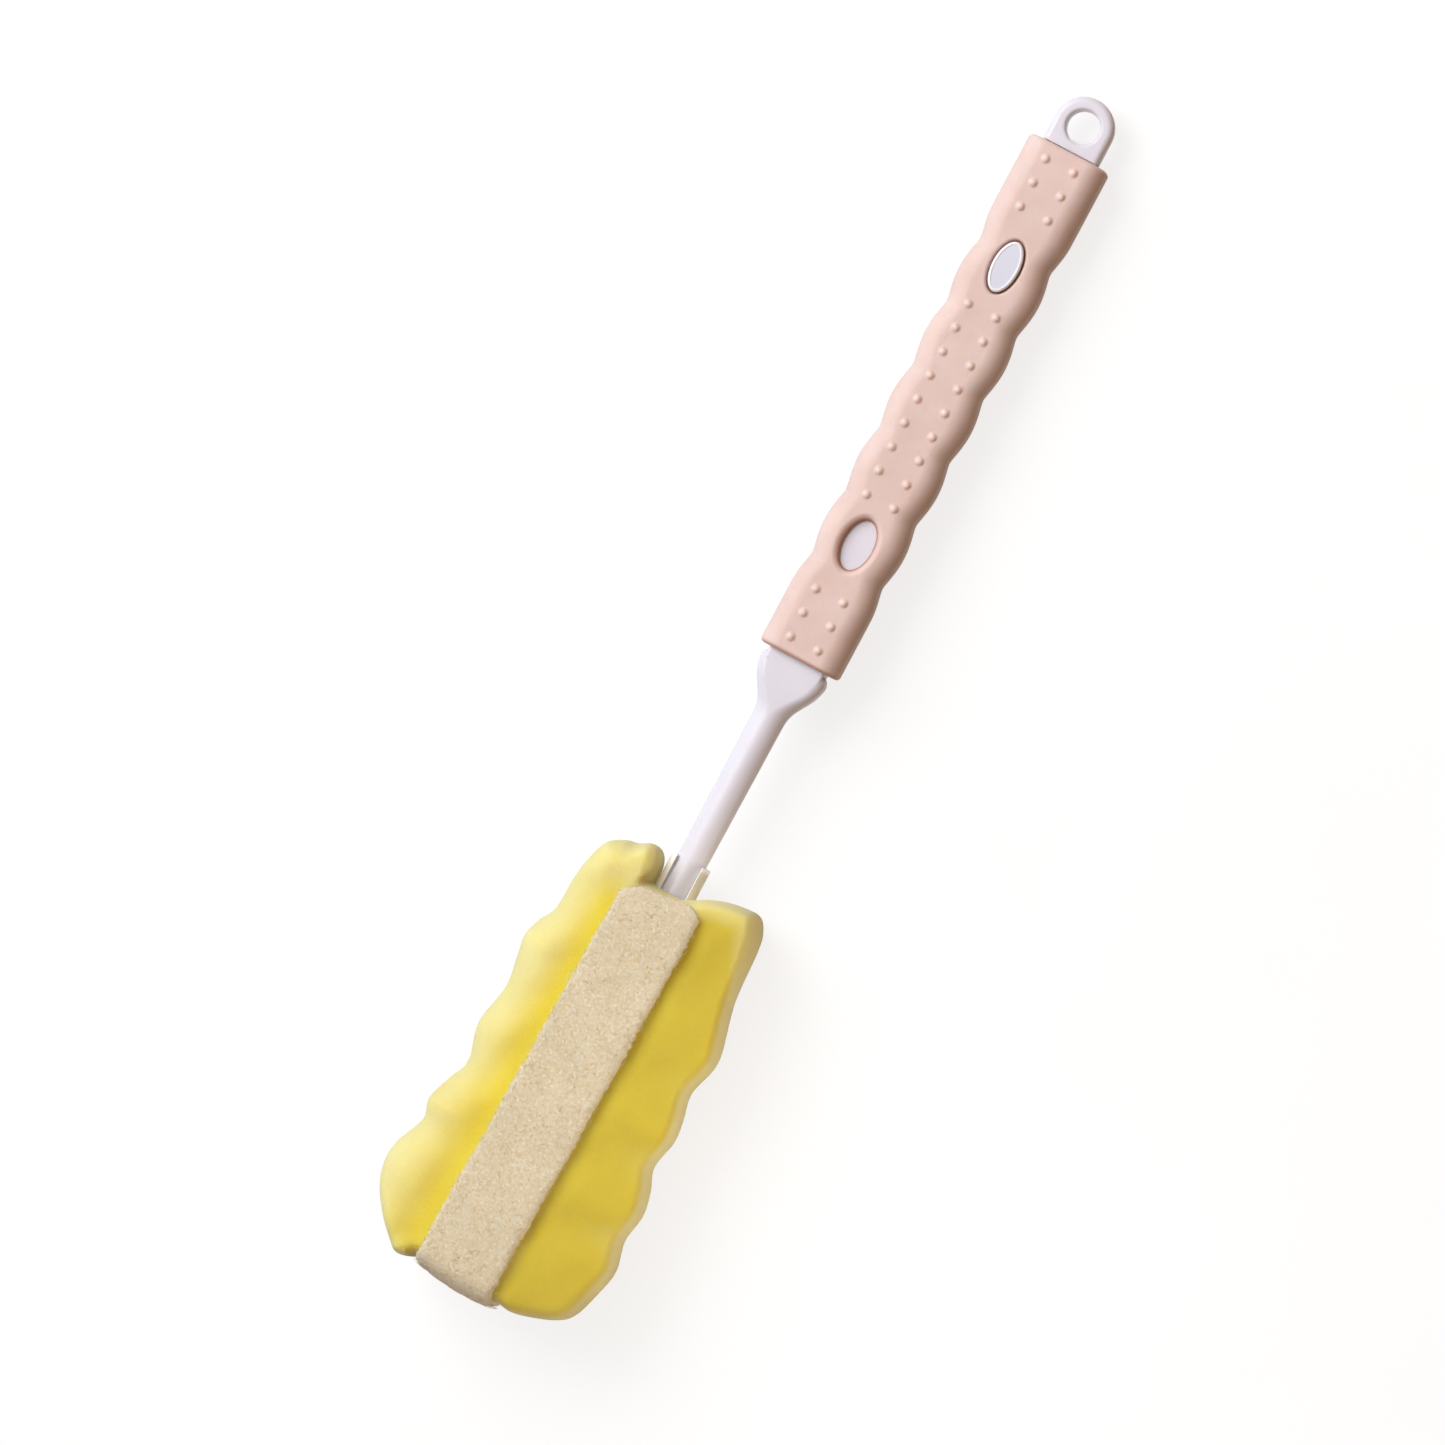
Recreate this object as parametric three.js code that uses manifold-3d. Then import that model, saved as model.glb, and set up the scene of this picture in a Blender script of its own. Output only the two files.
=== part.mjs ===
// Sponge bottle brush with a replaceable head.
// Millimetres, +Z up. The brush lies on its back: the front face is up, the hang eye points to +Y
// and the sponge tip to -Y. The origin is under the middle of the brush, on the surface it lies on.
// Stations are distances along the brush, measured from the sponge tip.

import * as THREE from 'three';
import { mergeVertices } from 'three/addons/utils/BufferGeometryUtils.js';
import Module from 'manifold-3d';

const wasm = await Module();
wasm.setup();

// ---- Driving dimensions -------------------------------------------------------------------

const overallLength = 315;
const fitGap = 0.3;

const eye = { width: 14.5, thickness: 5.6, holeDiameter: 8, edge: 0.7 };
const neck = { width: 13.8, thickness: 4.8, overlap: 3 };
const grip = { bottom: 167.2, top: 301, width: 20.4, thickness: 14, flatWidth: 11.4, sideHeight: 4.4 };
const scallop = { firstWaist: 191.1, pitch: 16.58, count: 6, depth: 0.95 };
const dome = { diameter: 2, height: 0.7, columnOffset: 3.65, pitch: 6.27 };
const domeRows = [{ first: 171.2, count: 3 }, { first: 208.6, count: 9 }, { first: 284.4, count: 3 }];
const upperWindow = { station: 270.4, width: 7.9, length: 14.4 };
const lowerWindow = { station: 197.3, width: 9.2, length: 14.5 };
const badge = { width: 6.6, length: 12.8, proud: 0.4, edge: 0.5, pegDiameter: 3, pegLength: 2.6 };

const spine = { width: 14.4, thickness: 9, top: 298.8 };
const shoulder = { width: 16.8, widest: 164.2, bottom: 153.5, thickness: 9, edge: 1.2, corner: 2.6 };
const stem = { topDiameter: 8, bottomDiameter: 7.4, narrowStation: 114 };
const tang = { end: 61, chamfer: 2, keyWidth: 2, keyReach: 4.6, keyBottom: 70, keyTop: 100 };

const socket = { top: 114.3, bottom: 52, boreEnd: 60, outerDiameter: 10, boreDiameter: 8 };
const socketSlot = { keyWidth: 2.6, earGap: 6.4, earRoot: 104.2 };
const paddle = { width: 34, bottom: 12, top: 92, thickness: 2.4, cornerRadius: 5 };
const glueWindow = { columnOffset: 10.6, firstStation: 26, pitch: 25, width: 7, length: 15, rows: 3 };

const foam = { tip: 2.3, tipRight: 11, tipLeft: 13, thickness: 28, edgeWidth: 3.5, edgeDepth: 6 };
const notch = { halfWidth: 5.7, floor: 105.5, rightTop: 108.6, leftTop: 112 };
const strip = { width: 20, thickness: 2, top: 103.7, offset: -1.5, bendRadius: 5, tipThickness: 2 };

// Crests and waists of the foam's wavy sides: [station, distance from the centre line].
const rightSide = [
  [110.7, 16.5], [108.4, 20.8], [103, 22.7], [92, 23.2], [76.4, 26.8], [67.3, 24.9], [54, 26.6],
  [47.5, 25.3], [35.5, 28.3], [28.3, 27.4], [20.5, 29.9], [11, 27.4], [4.6, 19.4],
];
const leftSide = [
  [113.4, 9.2], [111.2, 15.8], [108.2, 19.8], [103, 22.2], [93, 23.2], [82, 26.6], [68, 24.8], [58.4, 26.6],
  [48.9, 25], [36.6, 28.2], [31.1, 27.5], [21, 29.9], [10, 26], [3.4, 18.4],
];

const axisHeight = foam.thickness / 2 + fitGap + strip.thickness;
const slack = 1;

// ---- Solids: closed geometry that can be cut and joined -----------------------------------

function solidOf(geometry) {
  geometry.deleteAttribute('normal');
  geometry.deleteAttribute('uv');
  const merged = mergeVertices(geometry, 1e-4);
  return new wasm.Manifold(new wasm.Mesh({
    numProp: 3,
    vertProperties: merged.getAttribute('position').array,
    triVerts: new Uint32Array(merged.index.array),
  }));
}

function geometryOf(solid) {
  const { vertProperties, triVerts } = solid.getMesh();
  const geometry = new THREE.BufferGeometry();
  geometry.setAttribute('position', new THREE.Float32BufferAttribute(vertProperties, 3));
  geometry.setIndex(new THREE.Uint32BufferAttribute(triVerts, 1));
  geometry.computeVertexNormals();
  return geometry;
}

function joined(solids) {
  return solids.reduce((whole, solid) => whole.add(solid));
}

function yOf(station) {
  return station - overallLength / 2;
}

// A box between two stations, centred on the brush axis unless it is moved aside.
function block(width, bottom, top, height, x = 0, z = 0) {
  const geometry = new THREE.BoxGeometry(width, top - bottom, height);
  geometry.translate(x, yOf((bottom + top) / 2), z);
  return solidOf(geometry);
}

// A round bar along the brush axis.
function bar(diameter, bottom, top) {
  const geometry = new THREE.CylinderGeometry(diameter / 2, diameter / 2, top - bottom, 28);
  geometry.translate(0, yOf((bottom + top) / 2), 0);
  return solidOf(geometry);
}

// An outline seen from the front, given thickness about the brush axis, with rounded edges.
function slab(shape, thickness, edgeWidth = 0, edgeDepth = edgeWidth, curveSegments = 10) {
  const geometry = new THREE.ExtrudeGeometry(shape, {
    depth: thickness - 2 * edgeDepth,
    bevelEnabled: edgeWidth > 0,
    bevelSize: edgeWidth,
    bevelOffset: -edgeWidth,
    bevelThickness: edgeDepth,
    bevelSegments: 3,
    curveSegments,
  });
  geometry.translate(0, 0, edgeDepth - thickness / 2);
  return solidOf(geometry);
}

// A cross-section, given length along the brush, with rounded end edges.
function extrusion(shape, bottom, top, edge) {
  const geometry = new THREE.ExtrudeGeometry(shape, {
    depth: top - bottom - 2 * edge,
    bevelSize: edge,
    bevelOffset: -edge,
    bevelThickness: edge,
    bevelSegments: 2,
    curveSegments: 6,
  });
  geometry.rotateX(Math.PI / 2);
  geometry.translate(0, yOf(top - edge), 0);
  return solidOf(geometry);
}

function ellipse(width, length, station) {
  const shape = new THREE.Shape();
  shape.absellipse(0, yOf(station), width / 2, length / 2, 0, 2 * Math.PI);
  return shape;
}

function roundedRectangle(x, station, width, length, radius) {
  const left = x - width / 2;
  const right = x + width / 2;
  const bottom = yOf(station) - length / 2;
  const top = yOf(station) + length / 2;
  const shape = new THREE.Shape();
  shape.moveTo(left + radius, bottom);
  shape.lineTo(right - radius, bottom);
  shape.quadraticCurveTo(right, bottom, right, bottom + radius);
  shape.lineTo(right, top - radius);
  shape.quadraticCurveTo(right, top, right - radius, top);
  shape.lineTo(left + radius, top);
  shape.quadraticCurveTo(left, top, left, top - radius);
  shape.lineTo(left, bottom + radius);
  shape.quadraticCurveTo(left, bottom, left + radius, bottom);
  return shape;
}

// ---- Handle -------------------------------------------------------------------------------

function eyeSolid() {
  const radius = eye.width / 2;
  const centre = yOf(overallLength - radius);
  const root = yOf(grip.top + fitGap);
  const shape = new THREE.Shape();
  shape.moveTo(-radius, root);
  shape.lineTo(radius, root);
  shape.lineTo(radius, centre);
  shape.absarc(0, centre, radius, 0, Math.PI);
  shape.lineTo(-radius, root);
  const hole = new THREE.Path();
  hole.absarc(0, centre, eye.holeDiameter / 2, 0, 2 * Math.PI, true);
  shape.holes.push(hole);
  const neckTop = grip.top + neck.overlap;
  return slab(shape, eye.thickness, eye.edge)
    .add(block(neck.width, spine.top - neck.overlap, neckTop, neck.thickness));
}

function shoulderSolid() {
  const half = shoulder.width / 2;
  const stemHalf = stem.topDiameter / 2;
  const top = yOf(grip.bottom - fitGap);
  const widest = yOf(shoulder.widest);
  const bottom = yOf(shoulder.bottom);
  const shape = new THREE.Shape();
  shape.moveTo(stemHalf, bottom);
  shape.bezierCurveTo(stemHalf, bottom + 4, half - 0.6, widest - 5, half, widest);
  shape.quadraticCurveTo(half, top, half - shoulder.corner, top);
  shape.lineTo(shoulder.corner - half, top);
  shape.quadraticCurveTo(-half, top, -half, widest);
  shape.bezierCurveTo(0.6 - half, widest - 5, -stemHalf, bottom + 4, -stemHalf, bottom);
  return slab(shape, shoulder.thickness, shoulder.edge);
}

function stemSolid() {
  const end = yOf(tang.end);
  const thin = stem.bottomDiameter / 2;
  const thick = stem.topDiameter / 2;
  const profile = [
    new THREE.Vector2(0, end),
    new THREE.Vector2(thin - tang.chamfer / 2, end),
    new THREE.Vector2(thin, end + tang.chamfer),
    new THREE.Vector2(thin, yOf(stem.narrowStation)),
    new THREE.Vector2(thick, yOf(shoulder.bottom)),
    new THREE.Vector2(thick, yOf(shoulder.widest)),
    new THREE.Vector2(0, yOf(shoulder.widest)),
  ];
  return solidOf(new THREE.LatheGeometry(profile, 28));
}

function badgePeg(diameter, length) {
  const geometry = new THREE.CylinderGeometry(diameter / 2, diameter / 2, length, 16);
  geometry.rotateX(Math.PI / 2);
  geometry.translate(0, yOf(upperWindow.station), spine.thickness / 2 - length / 2 + slack);
  return solidOf(geometry);
}

function handleCore() {
  const spineSolid = block(spine.width, shoulder.widest, spine.top, spine.thickness);
  const keys = block(tang.keyWidth, tang.keyBottom, tang.keyTop, 2 * tang.keyReach);
  const pegHole = badgePeg(badge.pegDiameter + 2 * fitGap, badge.pegLength + fitGap + slack);
  return joined([spineSolid, eyeSolid(), shoulderSolid(), stemSolid(), keys]).subtract(pegHole);
}

// Half the width of the sleeve: straight near both ends, scalloped between them.
function gripHalfWidth(station) {
  const waves = (station - scallop.firstWaist) / scallop.pitch;
  const scalloped = waves > -0.5 && waves < scallop.count - 0.5;
  const dip = scalloped ? scallop.depth * (0.5 + 0.5 * Math.cos(2 * Math.PI * waves)) : 0;
  return grip.width / 2 - dip;
}

function gripOutline() {
  const cornerRadius = 1.6;
  const stepsPerWave = 8;
  const stations = [grip.bottom + cornerRadius];
  for (let step = -stepsPerWave / 2; step <= (scallop.count - 0.5) * stepsPerWave; step += 1) {
    stations.push(scallop.firstWaist + (step * scallop.pitch) / stepsPerWave);
  }
  stations.push(grip.top - cornerRadius);
  const end = grip.width / 2 - cornerRadius;
  const right = stations.map((station) => new THREE.Vector2(gripHalfWidth(station), yOf(station)));
  const left = right.map((point) => new THREE.Vector2(-point.x, point.y)).reverse();
  const shape = new THREE.Shape();
  shape.moveTo(end, yOf(grip.bottom));
  shape.quadraticCurveTo(grip.width / 2, yOf(grip.bottom), right[0].x, right[0].y);
  right.slice(1).forEach((point) => shape.lineTo(point.x, point.y));
  shape.quadraticCurveTo(grip.width / 2, yOf(grip.top), end, yOf(grip.top));
  shape.lineTo(-end, yOf(grip.top));
  shape.quadraticCurveTo(-grip.width / 2, yOf(grip.top), left[0].x, left[0].y);
  left.slice(1).forEach((point) => shape.lineTo(point.x, point.y));
  shape.quadraticCurveTo(-grip.width / 2, yOf(grip.bottom), -end, yOf(grip.bottom));
  return shape;
}

// The sleeve's cross-section: flat front and back, broad rounded shoulders, short upright sides.
function gripSection() {
  const flat = grip.flatWidth / 2;
  const half = grip.width / 2;
  const front = grip.thickness / 2;
  const side = grip.sideHeight / 2;
  const shape = new THREE.Shape();
  shape.moveTo(-flat, front);
  shape.lineTo(flat, front);
  shape.quadraticCurveTo(half, front, half, side);
  shape.lineTo(half, -side);
  shape.quadraticCurveTo(half, -front, flat, -front);
  shape.lineTo(-flat, -front);
  shape.quadraticCurveTo(-half, -front, -half, -side);
  shape.lineTo(-half, side);
  shape.quadraticCurveTo(-half, front, -flat, front);
  return shape;
}

function gripDomes() {
  const radius = (dome.diameter ** 2 / 4 + dome.height ** 2) / (2 * dome.height);
  const depth = grip.thickness / 2 + dome.height - radius;
  const domes = [];
  for (const { first, count } of domeRows) {
    for (let row = 0; row < count; row += 1) {
      for (const side of [-1, 1]) {
        for (const face of [-1, 1]) {
          const geometry = new THREE.SphereGeometry(radius, 8, 6);
          geometry.rotateX(Math.PI / 2);
          geometry.translate(side * dome.columnOffset, yOf(first + row * dome.pitch), face * depth);
          domes.push(solidOf(geometry));
        }
      }
    }
  }
  return joined(domes);
}

// The bore follows the spine, and narrows to the neck below the eye at the top of the grip.
function gripBore() {
  const bore = block(
    spine.width + 2 * fitGap, grip.bottom - slack, spine.top + fitGap, spine.thickness + 2 * fitGap,
  );
  const mouth = block(
    neck.width + 2 * fitGap, spine.top - slack, grip.top + slack, neck.thickness + 2 * fitGap,
  );
  return bore.add(mouth);
}

function windowCut({ station, width, length }) {
  const geometry = new THREE.ExtrudeGeometry(ellipse(width, length, station), {
    depth: grip.thickness,
    bevelEnabled: false,
    curveSegments: 14,
  });
  return solidOf(geometry);
}

function gripSleeve() {
  const outline = slab(gripOutline(), grip.thickness + 2);
  const section = extrusion(gripSection(), grip.bottom, grip.top, 0.9);
  return outline.intersect(section)
    .add(gripDomes())
    .subtract(gripBore())
    .subtract(windowCut(upperWindow))
    .subtract(windowCut(lowerWindow));
}

function ovalBadge() {
  const floor = spine.thickness / 2 + fitGap;
  const height = grip.thickness / 2 + badge.proud - floor;
  const geometry = new THREE.ExtrudeGeometry(ellipse(badge.width, badge.length, upperWindow.station), {
    depth: height - badge.edge,
    bevelSize: badge.edge,
    bevelOffset: -badge.edge,
    bevelThickness: badge.edge,
    bevelSegments: 2,
    curveSegments: 14,
  });
  geometry.translate(0, 0, floor);
  const top = solidOf(geometry);
  const belowFloor = block(badge.width + 2, upperWindow.station - 10, upperWindow.station + 10, 4, 0, floor - 2);
  return top.subtract(belowFloor).add(badgePeg(badge.pegDiameter, badge.pegLength + slack));
}

// ---- Head ---------------------------------------------------------------------------------

function paddleSolid() {
  const middle = (paddle.bottom + paddle.top) / 2;
  const length = paddle.top - paddle.bottom;
  const shape = roundedRectangle(0, middle, paddle.width, length, paddle.cornerRadius);
  for (let row = 0; row < glueWindow.rows; row += 1) {
    for (const side of [-1, 1]) {
      const station = glueWindow.firstStation + row * glueWindow.pitch;
      const x = side * glueWindow.columnOffset;
      shape.holes.push(roundedRectangle(x, station, glueWindow.width, glueWindow.length, 2));
    }
  }
  return slab(shape, paddle.thickness, 0, 0, 4);
}

// A split tube on a flat paddle. Its two halves spring apart for the tang, and end in two ears.
function headSocket() {
  const reach = 2 * socket.outerDiameter;
  const bore = bar(socket.boreDiameter, socket.boreEnd, socket.top + slack);
  const keySlot = block(socketSlot.keyWidth, tang.keyBottom - fitGap, socket.top + slack, reach);
  const earGap = block(socketSlot.earGap, socketSlot.earRoot, socket.top + slack, reach);
  return bar(socket.outerDiameter, socket.bottom, socket.top)
    .add(paddleSolid())
    .subtract(bore)
    .subtract(keySlot)
    .subtract(earGap);
}

function foamOutline() {
  const pointOf = (side) => ([station, distance]) => new THREE.Vector2(side * distance, yOf(station));
  const right = rightSide.map(pointOf(1));
  const left = leftSide.map(pointOf(-1)).reverse();
  const shape = new THREE.Shape();
  shape.moveTo(-notch.halfWidth, yOf(notch.floor));
  shape.lineTo(notch.halfWidth, yOf(notch.floor));
  shape.lineTo(notch.halfWidth, yOf(notch.rightTop));
  shape.splineThru(right);
  shape.lineTo(foam.tipRight, yOf(foam.tip));
  shape.lineTo(-foam.tipLeft, yOf(foam.tip));
  shape.splineThru(left);
  shape.lineTo(-notch.halfWidth, yOf(notch.leftTop));
  return shape;
}

// One half of the foam head, hollowed for the socket. Side 1 is the front pad, -1 the back pad.
function foamPad(side) {
  const whole = slab(foamOutline(), foam.thickness, foam.edgeWidth, foam.edgeDepth, 3);
  const middleOfHalf = side * (foam.thickness / 2 + fitGap / 2);
  const half = block(overallLength, -slack, grip.bottom, foam.thickness, 0, middleOfHalf);
  const middle = (paddle.bottom + paddle.top) / 2;
  const paddleWidth = paddle.width + 2 * fitGap;
  const paddleLength = paddle.top - paddle.bottom + 2 * fitGap;
  const paddleOutline = roundedRectangle(0, middle, paddleWidth, paddleLength, paddle.cornerRadius);
  const paddleRoom = slab(paddleOutline, paddle.thickness + 2 * fitGap);
  const tubeRoom = bar(socket.outerDiameter + 2 * fitGap, socket.bottom - fitGap, grip.bottom);
  return whole.intersect(half).subtract(paddleRoom).subtract(tubeRoom);
}

// One strip bent into a long U: up the front, round the tip and up the back.
function scouringStrip() {
  const outer = foam.thickness / 2 + fitGap + strip.thickness;
  const inner = outer - strip.thickness;
  const top = yOf(strip.top);
  const tip = yOf(0);
  const radius = strip.bendRadius + strip.thickness;
  const shape = new THREE.Shape();
  shape.moveTo(top, outer);
  shape.lineTo(tip + radius, outer);
  shape.quadraticCurveTo(tip, outer, tip, outer - radius);
  shape.lineTo(tip, radius - outer);
  shape.quadraticCurveTo(tip, -outer, tip + radius, -outer);
  shape.lineTo(top, -outer);
  shape.lineTo(top, -inner);
  shape.lineTo(tip + radius, -inner);
  shape.quadraticCurveTo(tip + strip.tipThickness, -inner, tip + strip.tipThickness, radius - outer);
  shape.lineTo(tip + strip.tipThickness, outer - radius);
  shape.quadraticCurveTo(tip + strip.tipThickness, inner, tip + radius, inner);
  shape.lineTo(top, inner);
  const geometry = new THREE.ExtrudeGeometry(shape, {
    depth: strip.width,
    bevelEnabled: false,
    curveSegments: 6,
  });
  const acrossTheHead = new THREE.Matrix4().makeBasis(
    new THREE.Vector3(0, 1, 0), new THREE.Vector3(0, 0, 1), new THREE.Vector3(1, 0, 0),
  );
  geometry.applyMatrix4(acrossTheHead);
  geometry.translate(strip.offset - strip.width / 2, 0, 0);
  return solidOf(geometry);
}

// ---- Assembly -----------------------------------------------------------------------------

const materials = {
  whitePlastic: { color: '#e6e3ee', roughness: 0.35, metalness: 0 },
  badgePlastic: { color: '#d9d9e4', roughness: 0.3, metalness: 0 },
  clearPlastic: { color: '#f1eef0', roughness: 0.25, metalness: 0, transparent: true, opacity: 0.55 },
  peachRubber: { color: '#e2c8bc', roughness: 0.6, metalness: 0 },
  yellowFoam: { color: '#eadb66', roughness: 0.95, metalness: 0 },
  creamFibre: { color: '#dccbac', roughness: 0.95, metalness: 0 },
};

function piece(name, solid, material) {
  const mesh = new THREE.Mesh(geometryOf(solid), new THREE.MeshStandardMaterial(materials[material]));
  mesh.name = name;
  return mesh;
}

const handle = new THREE.Group();
handle.add(piece('handle_core', handleCore(), 'whitePlastic'));
handle.add(piece('grip_sleeve', gripSleeve(), 'peachRubber'));
handle.add(piece('oval_badge', ovalBadge(), 'badgePlastic'));

const head = new THREE.Group();
head.add(piece('head_socket', headSocket(), 'clearPlastic'));
head.add(piece('foam_front', foamPad(1), 'yellowFoam'));
head.add(piece('foam_back', foamPad(-1), 'yellowFoam'));
head.add(piece('scouring_strip', scouringStrip(), 'creamFibre'));

const brush = new THREE.Group();
brush.add(handle, head);
brush.position.z = axisHeight;

export default brush;
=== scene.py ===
"""The looks of a sponge bottle brush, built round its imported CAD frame.

Lengths are millimetres, and turn into metres when a mesh is made. A point is (x, s, z): x to the
right seen from the front, s the station along the brush from the sponge tip, and z the height above
the brush's axis. A field is a function of x, s and z that is negative inside a solid, and close to
the distance from its surface.
"""
import math
from functools import partial
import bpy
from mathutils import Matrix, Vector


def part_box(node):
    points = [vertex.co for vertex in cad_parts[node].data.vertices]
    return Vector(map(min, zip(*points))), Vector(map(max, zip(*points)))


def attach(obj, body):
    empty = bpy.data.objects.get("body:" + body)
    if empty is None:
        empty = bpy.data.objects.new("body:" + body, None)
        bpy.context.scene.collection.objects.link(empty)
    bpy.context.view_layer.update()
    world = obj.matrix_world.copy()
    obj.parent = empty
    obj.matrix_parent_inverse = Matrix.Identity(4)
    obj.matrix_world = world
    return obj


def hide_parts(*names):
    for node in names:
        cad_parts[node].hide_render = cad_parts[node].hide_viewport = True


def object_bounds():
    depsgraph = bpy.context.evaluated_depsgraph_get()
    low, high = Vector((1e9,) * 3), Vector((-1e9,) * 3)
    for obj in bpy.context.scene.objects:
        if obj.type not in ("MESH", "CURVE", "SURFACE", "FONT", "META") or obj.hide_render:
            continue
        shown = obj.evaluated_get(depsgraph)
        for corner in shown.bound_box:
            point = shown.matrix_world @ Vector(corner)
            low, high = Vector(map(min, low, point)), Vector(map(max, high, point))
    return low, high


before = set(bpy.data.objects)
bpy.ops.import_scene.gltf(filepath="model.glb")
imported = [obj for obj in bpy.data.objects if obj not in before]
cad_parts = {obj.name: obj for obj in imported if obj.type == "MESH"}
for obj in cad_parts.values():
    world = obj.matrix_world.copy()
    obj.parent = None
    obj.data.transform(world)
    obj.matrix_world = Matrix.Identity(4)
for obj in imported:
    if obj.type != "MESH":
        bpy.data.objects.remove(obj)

from types import SimpleNamespace as Sizes

import bmesh
import bpy
import numpy as np
from mathutils import Matrix, Vector

# ---- Places, taken from the frame ----

MM = 0.001
cad_low, cad_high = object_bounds()
foam_low, foam_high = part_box("foam_back")[0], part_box("foam_front")[1]
grip_low, grip_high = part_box("grip_sleeve")
tip_y = cad_low.y
axis_height = (foam_low.z + foam_high.z) / 2


def station_of(y):
    return (y - tip_y) / MM


def row_points(points):
    """Points (x, s, z) in millimetres, as points of the row frame in metres."""
    return points * MM + np.array([0, tip_y, axis_height])


# ---- Driving sizes ----

total_length = station_of(cad_high.y)
gap = 0.3  # between pieces that are moulded or glued together
snug = 0.1  # round the handle's neck, where the sleeve grips it

eye = Sizes(width=14.5, thickness=5.6, hole=8.0, edge=1.5, hole_edge=0.8)
neck = Sizes(width=13.8, thickness=4.8, top=304.0)
grip = Sizes(
    bottom=station_of(grip_low.y), top=station_of(grip_high.y), width=(grip_high.x - grip_low.x) / MM,
    thickness=14.0, corner=5.0, end_edge=1.1,
)
scallop = Sizes(first_waist=191.1, pitch=16.58, count=6, depth=1.3)
dome = Sizes(diameter=2.0, height=0.7, column=3.65, pitch=6.27, fillet=0.35)
dome_rows = [(171.2, 3), (208.6, 9), (284.4, 3)]  # first station and number of pairs
# slope is how a window narrows with depth, least the clearance it keeps round the badge, and the last size
# the depth at which the painted shade on the window's walls starts.
upper_window = Sizes(station=270.4, width=8.0, length=14.3, slope=0.5, least=0.12, lip=0.4, dirt=0.1)
lower_window = Sizes(station=197.3, width=8.9, length=14.2, slope=0.45, least=-1.0, lip=0.9, dirt=0.35)
badge = Sizes(width=6.6, length=12.8, proud=0.55, edge=0.6, rim=0.75, recess=0.14, peg=3.0, peg_end=1.9)

spine = Sizes(width=14.4, thickness=9.0, top=298.8)
shoulder = Sizes(width=16.8, widest=164.2, bottom=153.5, thickness=9.0, edge=2.3, top_corner=2.6)
stem = Sizes(top_diameter=8.0, bottom_diameter=7.4, narrow_station=114.0)
tang = Sizes(end=61.0, edge=1.2, key_width=2.0, key_reach=4.6, key_bottom=70.0, key_top=100.0)

socket = Sizes(top=114.3, bottom=52.0, bore_end=60.0, diameter=10.0, bore=8.0)
socket_slot = Sizes(key_width=2.6, ear_gap=6.4, ear_root=104.2)
paddle = Sizes(width=34.0, bottom=12.0, top=92.0, thickness=2.4, corner=5.0)
glue_window = Sizes(column=10.6, first=26.0, pitch=25.0, width=7.0, length=15.0, rows=3)

# left_edge, right_edge, tip_edge and the two ends are how far in the foam's edges round over. The
# right lobe's face slants down by slant, and seam is half the hairline between the two pads.
foam = Sizes(
    tip=2.3, height=14.1, left_edge=12.0, right_edge=2.4, left_end=6.5, right_end=3.0, tip_edge=4.5,
    roundness=2.3, tip_roundness=3.6, slant=0.18, seam=0.01, cell=(0.7, 0.7, 0.45),
)
# left_wide is the groove's width at the tip and at the top. ripple is how high the small hills are, and
# slant_from how far right of the strip's middle the right lobe starts to slant.
groove = Sizes(left_wide=[15, 7.5], right_wide=4.5, left_deep=0.8, right_deep=0.7)
hills = Sizes(left=0.34, right=0.75, ripple=0.2, slant_from=12)
strip = Sizes(
    width=20.0, thickness=2.0, top=104.2, clearance=0.12, step=0.45, bend=0.5, fold_bow=0.008, end_sag=1.4,
)
fibre = Sizes(count=2200, knots=6, sides=3, at_edge=0.22, thinnest=0.03, thickest=0.05)

# Points on the foam's wavy sides, from the top down: (station, distance from the centre line).
right_side = [
    (105.5, 2.8), (106.8, 5.4), (108.3, 8.0), (109.8, 12.0), (110.6, 16.5), (110.4, 20.0), (107.5, 22.2),
    (103, 23.2), (92, 23.9), (86.5, 24.9), (75.5, 27.3), (66.5, 25.3), (60.5, 26.4), (54.5, 27),
    (47.3, 25.7), (42, 27.6), (36, 28.7), (29, 27.8), (21.5, 29.3), (14, 27.7), (8, 25.5), (5.2, 22.3),
    (3, 16.5), (2.2, 12.5), (2.7, 9), (2.4, 3),
]
left_side = [
    (105.5, 5.4), (110.2, 5.9), (113, 7.4), (113.7, 9.8), (112.2, 12.8), (111.5, 15.8), (108.9, 19.5),
    (103, 21.6), (97, 22.5), (91.5, 22.6), (88.5, 23.3), (85.5, 25), (81, 26.3), (75.5, 25.5),
    (68, 24.5), (58, 26.2), (49, 24.1), (43.5, 26), (37, 28.1), (32, 27), (24.5, 29.9), (19, 30.3),
    (14, 28.6), (8, 24.1), (3.6, 19.8), (1.8, 17.4), (2.3, 14.4), (4.0, 12), (3.1, 7),
]
# Stations of the bulges and of the waists between them, from the tip up, by turns.
right_bulges = [2, 20.5, 28.3, 35.5, 47.5, 56, 67.3, 76.4, 92, 106]
left_bulges = [2, 21, 31.1, 37.5, 48.9, 58.4, 68, 82, 93, 106]


# ---- Fields ----

def both(a, b, radius=0.0):
    """The intersection of two fields, with its edge rounded."""
    corner = np.hypot(np.maximum(radius + a, 0), np.maximum(radius + b, 0))
    return np.minimum(-radius, np.maximum(a, b)) + corner


def either(a, b, radius=0.0):
    """The union of two fields, with a fillet between them."""
    return -both(-a, -b, radius)


def between(value, low, high):
    """Negative where the value is between low and high."""
    return np.maximum(low - value, value - high)


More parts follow.
